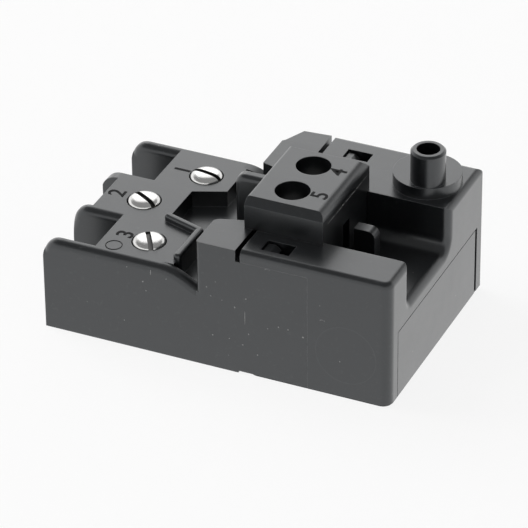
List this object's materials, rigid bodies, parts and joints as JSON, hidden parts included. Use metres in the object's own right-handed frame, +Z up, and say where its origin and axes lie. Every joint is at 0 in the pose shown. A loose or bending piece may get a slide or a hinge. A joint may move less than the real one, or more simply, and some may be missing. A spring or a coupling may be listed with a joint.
{
  "type": "power tool trigger switch",
  "caption": "Black trigger switch with side-entry screw clamps, a raised clamp block, a sprung sliding tab in a channel and a hollow post on an eccentric collar.",
  "frame": {"origin": "centre of the bounding box's bottom, in the plane of the underside", "axes": "+X from the wire end towards the trigger end, +Y from the front side to the side with the post, +Z up"},
  "size_m": [0.06, 0.0384, 0.0305],
  "materials": {
    "black_moulding": "fine matt moulded surface",
    "slider_moulding": "smooth low-friction moulding",
    "black_sheet": "thin pressed insulating sheet",
    "screw_steel": "bright nickel plating",
    "cage_steel": "zinc plating",
    "strip_brass": "pressed strip, bare",
    "plunger_brass": "turned",
    "contact_silver": "silver contact metal",
    "spring_wire": "drawn wire"
  },
  "bodies": {
    "housing": {"housing_base": "black_moulding", "housing_cover": "black_moulding", "terminal_block": "black_moulding", "insulating_sheet": "black_sheet", "return_spring": "spring_wire", "contact_strip_1": "strip_brass", "contact_strip_2": "strip_brass", "contact_strip_3": "strip_brass", "contact_strip_4": "strip_brass", "contact_strip_5": "strip_brass", "fixed_tip_2": "contact_silver", "fixed_tip_4": "contact_silver", "fixed_tip_5": "contact_silver"},
    "slider": {"trigger_slider": "slider_moulding", "plunger_front": "plunger_brass", "plunger_rear": "plunger_brass", "plunger_spring_front": "spring_wire", "plunger_spring_rear": "spring_wire"},
    "rocker_front": {"rocker_contact_front": "strip_brass", "moving_tips_front": "contact_silver"},
    "rocker_rear": {"rocker_contact_rear": "strip_brass", "moving_tips_rear": "contact_silver"},
    "screw_1": {"clamp_screw_1": "screw_steel"},
    "cage_1": {"clamp_cage_1": "cage_steel"},
    "screw_2": {"clamp_screw_2": "screw_steel"},
    "cage_2": {"clamp_cage_2": "cage_steel"},
    "screw_3": {"clamp_screw_3": "screw_steel"},
    "cage_3": {"clamp_cage_3": "cage_steel"},
    "screw_4": {"clamp_screw_4": "screw_steel"},
    "cage_4": {"clamp_cage_4": "cage_steel"},
    "screw_5": {"clamp_screw_5": "screw_steel"},
    "cage_5": {"clamp_cage_5": "cage_steel"}
  },
  "joints": [
    {"name": "trigger_slide", "type": "slide", "parent": "housing", "child": "slider", "axis": [-1, 0, 0], "range_m": [0, 0.0035], "stiffness_N_per_m": 900, "springref_m": -0.003, "deforming": ["return_spring"]},
    {"name": "rocker_front_tilt", "type": "hinge", "parent": "housing", "child": "rocker_front", "pos_m": [0.018, -0.00735, 0.00465], "axis": [0, -1, 0], "range_deg": [0, 14]},
    {"name": "rocker_rear_tilt", "type": "hinge", "parent": "housing", "child": "rocker_rear", "pos_m": [0.018, 0.00085, 0.00465], "axis": [0, -1, 0], "range_deg": [0, 14]},
    {"name": "screw_1_turn", "type": "hinge", "parent": "housing", "child": "screw_1", "pos_m": [-0.01415, 0.00877, 0.0145], "axis": [0, 0, -1], "range_deg": [0, 1368.5]},
    {"name": "cage_1_rise", "type": "slide", "parent": "housing", "child": "cage_1", "axis": [0, 0, 1], "range_m": [0, 0.0019]},
    {"name": "screw_2_turn", "type": "hinge", "parent": "housing", "child": "screw_2", "pos_m": [-0.0202, -0.00208, 0.0145], "axis": [0, 0, -1], "range_deg": [0, 1368.5]},
    {"name": "cage_2_rise", "type": "slide", "parent": "housing", "child": "cage_2", "axis": [0, 0, 1], "range_m": [0, 0.0019]},
    {"name": "screw_3_turn", "type": "hinge", "parent": "housing", "child": "screw_3", "pos_m": [-0.01415, -0.01293, 0.0145], "axis": [0, 0, -1], "range_deg": [0, 1368.5]},
    {"name": "cage_3_rise", "type": "slide", "parent": "housing", "child": "cage_3", "axis": [0, 0, 1], "range_m": [0, 0.0019]},
    {"name": "screw_4_turn", "type": "hinge", "parent": "housing", "child": "screw_4", "pos_m": [0.0084, 0.00085, 0.0221], "axis": [0, 0, -1], "range_deg": [0, 1368.5]},
    {"name": "cage_4_rise", "type": "slide", "parent": "housing", "child": "cage_4", "axis": [0, 0, 1], "range_m": [0, 0.0019]},
    {"name": "screw_5_turn", "type": "hinge", "parent": "housing", "child": "screw_5", "pos_m": [0.0084, -0.00735, 0.0221], "axis": [0, 0, -1], "range_deg": [0, 1368.5]},
    {"name": "cage_5_rise", "type": "slide", "parent": "housing", "child": "cage_5", "axis": [0, 0, 1], "range_m": [0, 0.0019]}
  ],
  "couplings": [
    {"joint": "rocker_front_tilt", "follows": "trigger_slide", "rad_per_m": 69.8},
    {"joint": "rocker_rear_tilt", "follows": "trigger_slide", "rad_per_m": 69.8},
    {"joint": "screw_1_turn", "follows": "cage_1_rise", "rad_per_m": 12566},
    {"joint": "screw_2_turn", "follows": "cage_2_rise", "rad_per_m": 12566},
    {"joint": "screw_3_turn", "follows": "cage_3_rise", "rad_per_m": 12566},
    {"joint": "screw_4_turn", "follows": "cage_4_rise", "rad_per_m": 12566},
    {"joint": "screw_5_turn", "follows": "cage_5_rise", "rad_per_m": 12566}
  ]
}
